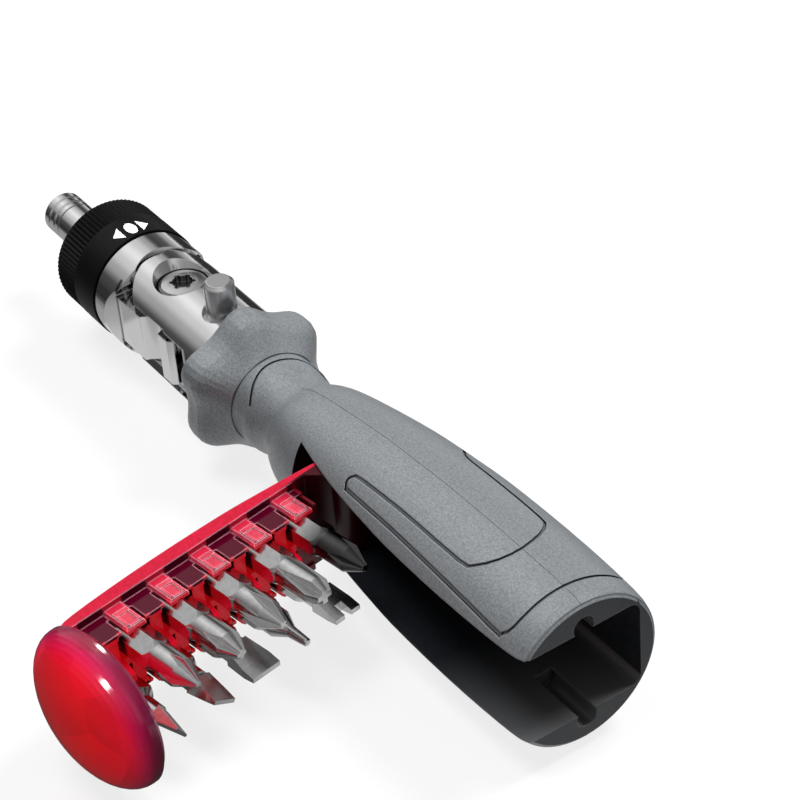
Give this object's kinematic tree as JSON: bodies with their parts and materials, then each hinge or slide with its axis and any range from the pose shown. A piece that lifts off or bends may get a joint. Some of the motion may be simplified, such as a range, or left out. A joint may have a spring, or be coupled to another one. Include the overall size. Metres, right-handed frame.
{
  "type": "ratcheting screwdriver",
  "caption": "Ratcheting screwdriver with a folding, pin-locked head, a selector ring and a red bit magazine that swings out of the grip.",
  "frame": {"origin": "centre of the mouth of the bit socket, at the tip of the spindle", "axes": "+X along the tool from the tip to the butt of the grip, +Z towards the lock pin, the magazine swings out to -Y"},
  "size_m": [0.2071, 0.1051, 0.0401],
  "materials": {
    "grip_plastic": "fine-textured satin moulding",
    "polished_steel": "polished plating",
    "bearing_steel": "ground",
    "spring_steel": "drawn wire and strip",
    "gear_steel": "hardened, lightly oiled",
    "magnet": "plated magnet",
    "ring_plastic": "satin black with fine flutes",
    "red_plastic": "clear red, polished mould",
    "cap_plastic": "clear deep red, polished dome",
    "bit_steel": "satin tool steel"
  },
  "bodies": {
    "handle": {"handle": "grip_plastic", "barrel": "polished_steel", "pivot_screw": "polished_steel", "lock_ball": "bearing_steel", "lock_spring": "spring_steel", "magazine_pin": "bearing_steel"},
    "head": {"ratchet_housing": "polished_steel", "front_cap": "polished_steel", "pawl_spring": "spring_steel", "detent_ball": "bearing_steel", "detent_spring": "spring_steel"},
    "lock_pin": {"lock_pin": "polished_steel"},
    "ring": {"selector_ring": "ring_plastic", "cam_plate": "gear_steel"},
    "pawl_left": {"pawl_left": "gear_steel"},
    "pawl_right": {"pawl_right": "gear_steel"},
    "spindle": {"spindle": "polished_steel", "ratchet_gear": "gear_steel", "retaining_ring": "spring_steel", "bit_magnet": "magnet"},
    "magazine": {"magazine_rack": "red_plastic", "magazine_cap": "cap_plastic"},
    "bit_cross_1": {"bit_cross_1": "bit_steel"},
    "bit_cross_2": {"bit_cross_2": "bit_steel"},
    "bit_cross_3": {"bit_cross_3": "bit_steel"},
    "bit_cross_4": {"bit_cross_4": "bit_steel"},
    "bit_cross_5": {"bit_cross_5": "bit_steel"},
    "bit_slot_narrow": {"bit_slot_narrow": "bit_steel"},
    "bit_slot_medium": {"bit_slot_medium": "bit_steel"},
    "bit_slot_wide": {"bit_slot_wide": "bit_steel"},
    "bit_pin": {"bit_pin": "bit_steel"},
    "bit_fork": {"bit_fork": "bit_steel"}
  },
  "joints": [
    {"name": "head_fold", "type": "hinge", "parent": "handle", "child": "head", "pos_m": [0.0601, 0, 0], "axis": [0, 0, 1], "range_deg": [-90, 90]},
    {"name": "lock_pin_press", "type": "slide", "parent": "handle", "child": "lock_pin", "axis": [0, 0, -1], "range_m": [0, 0.0045]},
    {"name": "ring_turn", "type": "hinge", "parent": "head", "child": "ring", "pos_m": [0.0241, 0, 0], "axis": [1, 0, 0], "range_deg": [-25, 25]},
    {"name": "pawl_left_swing", "type": "hinge", "parent": "head", "child": "pawl_left", "pos_m": [0.0241, 0.00654, -0.00511], "axis": [1, 0, 0], "range_deg": [-9, 9]},
    {"name": "pawl_right_swing", "type": "hinge", "parent": "head", "child": "pawl_right", "pos_m": [0.0241, -0.00654, -0.00511], "axis": [1, 0, 0], "range_deg": [-9, 9]},
    {"name": "spindle_spin", "type": "hinge", "parent": "head", "child": "spindle", "pos_m": [0, 0, 0], "axis": [1, 0, 0], "continuous": true},
    {"name": "magazine_swing", "type": "hinge", "parent": "handle", "child": "magazine", "pos_m": [0.1373, -0.0078, 0], "axis": [0, 0, -1], "range_deg": [-80.5, 0]},
    {"name": "bit_cross_1_pull", "type": "slide", "parent": "magazine", "child": "bit_cross_1", "axis": [0.9863, 0.165, 0], "range_m": [0, 0.022]},
    {"name": "bit_cross_2_pull", "type": "slide", "parent": "magazine", "child": "bit_cross_2", "axis": [0.9863, 0.165, 0], "range_m": [0, 0.022]},
    {"name": "bit_cross_3_pull", "type": "slide", "parent": "magazine", "child": "bit_cross_3", "axis": [0.9863, 0.165, 0], "range_m": [0, 0.022]},
    {"name": "bit_cross_4_pull", "type": "slide", "parent": "magazine", "child": "bit_cross_4", "axis": [0.9863, 0.165, 0], "range_m": [0, 0.022]},
    {"name": "bit_cross_5_pull", "type": "slide", "parent": "magazine", "child": "bit_cross_5", "axis": [0.9863, 0.165, 0], "range_m": [0, 0.022]},
    {"name": "bit_slot_narrow_pull", "type": "slide", "parent": "magazine", "child": "bit_slot_narrow", "axis": [0.9863, 0.165, 0], "range_m": [0, 0.022]},
    {"name": "bit_slot_medium_pull", "type": "slide", "parent": "magazine", "child": "bit_slot_medium", "axis": [0.9863, 0.165, 0], "range_m": [0, 0.022]},
    {"name": "bit_slot_wide_pull", "type": "slide", "parent": "magazine", "child": "bit_slot_wide", "axis": [0.9863, 0.165, 0], "range_m": [0, 0.022]},
    {"name": "bit_pin_pull", "type": "slide", "parent": "magazine", "child": "bit_pin", "axis": [0.9863, 0.165, 0], "range_m": [0, 0.022]},
    {"name": "bit_fork_pull", "type": "slide", "parent": "magazine", "child": "bit_fork", "axis": [0.9863, 0.165, 0], "range_m": [0, 0.022]}
  ],
  "couplings": [
    {"joint": "pawl_left_swing", "follows": "ring_turn", "ratio": 0.36},
    {"joint": "pawl_right_swing", "follows": "ring_turn", "ratio": 0.36}
  ]
}
